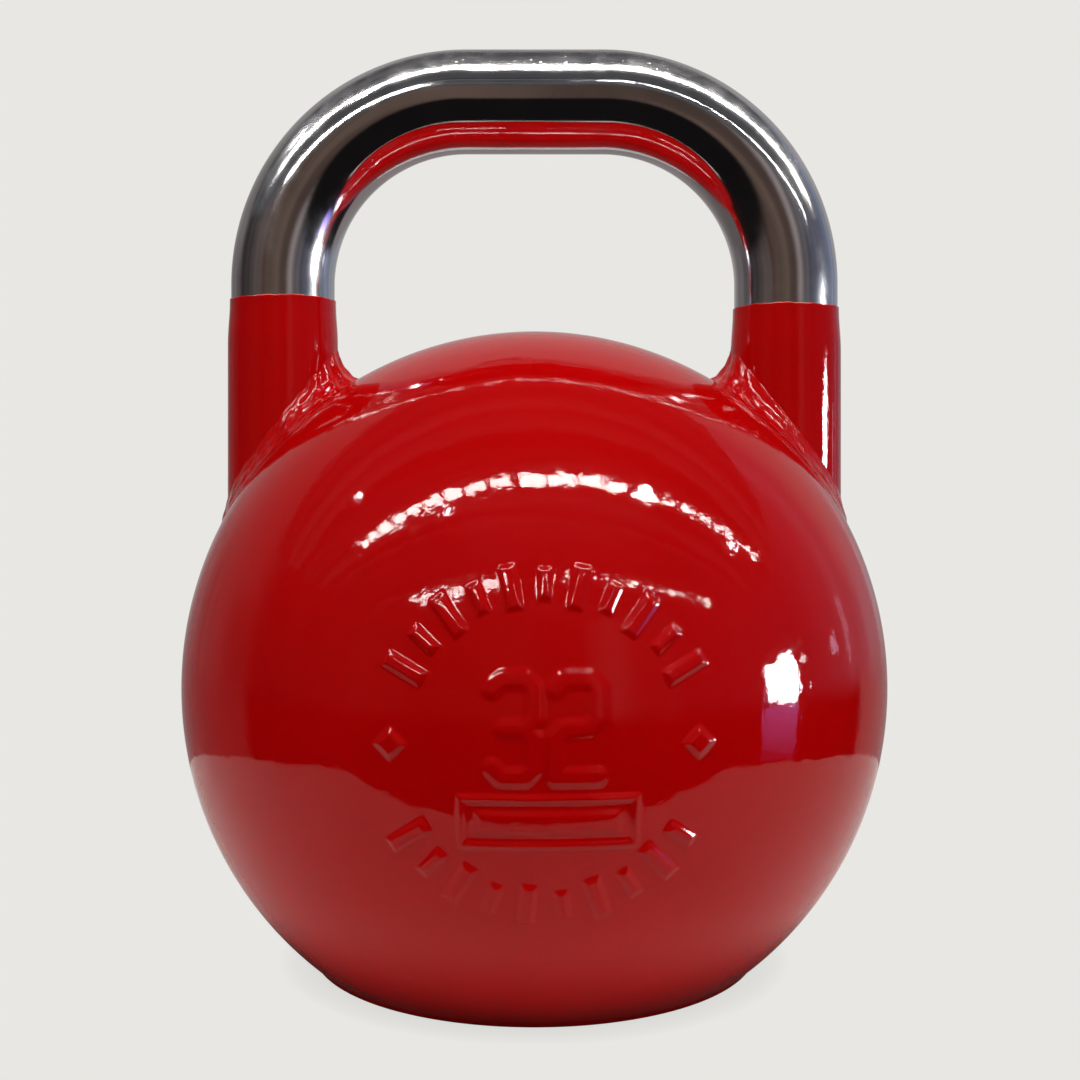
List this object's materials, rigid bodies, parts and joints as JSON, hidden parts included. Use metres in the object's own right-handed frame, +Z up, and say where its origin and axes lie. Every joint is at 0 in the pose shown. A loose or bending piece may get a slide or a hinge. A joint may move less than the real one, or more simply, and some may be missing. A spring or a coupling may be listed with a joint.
{
  "type": "competition kettlebell",
  "caption": "Kettlebell with a painted hollow steel ball, iron ballast inside, a flat base closed by a screwed plate and a welded, chromed loop handle.",
  "frame": {"origin": "centre of the base circle, on the plane the bell stands on", "axes": "+Z up through the ball and the handle, +X along the handle's grip, the raised numerals face -Y"},
  "size_m": [0.21, 0.2108, 0.2735],
  "materials": {
    "red_paint": "gloss",
    "chrome": "polished",
    "plate_steel": "satin",
    "screw_steel": "satin",
    "core_iron": "matte",
    "gasket_rubber": "matte",
    "seal_brass": "satin",
    "grout": "matte"
  },
  "bodies": {
    "root": {"front_shell": "red_paint", "rear_shell": "red_paint", "shell_seam_weld": "red_paint", "handle_bar": "chrome", "left_horn": "red_paint", "right_horn": "red_paint", "left_horn_weld": "red_paint", "right_horn_weld": "red_paint", "base_ring": "red_paint", "base_ring_weld": "red_paint", "closing_plate": "plate_steel", "plate_gasket": "gasket_rubber", "plate_screws": "screw_steel", "fill_plug": "screw_steel", "plug_washer": "seal_brass", "ballast_core": "core_iron", "trim_charge": "core_iron", "core_pad": "gasket_rubber", "filler_grout": "grout"}
  },
  "joints": []
}
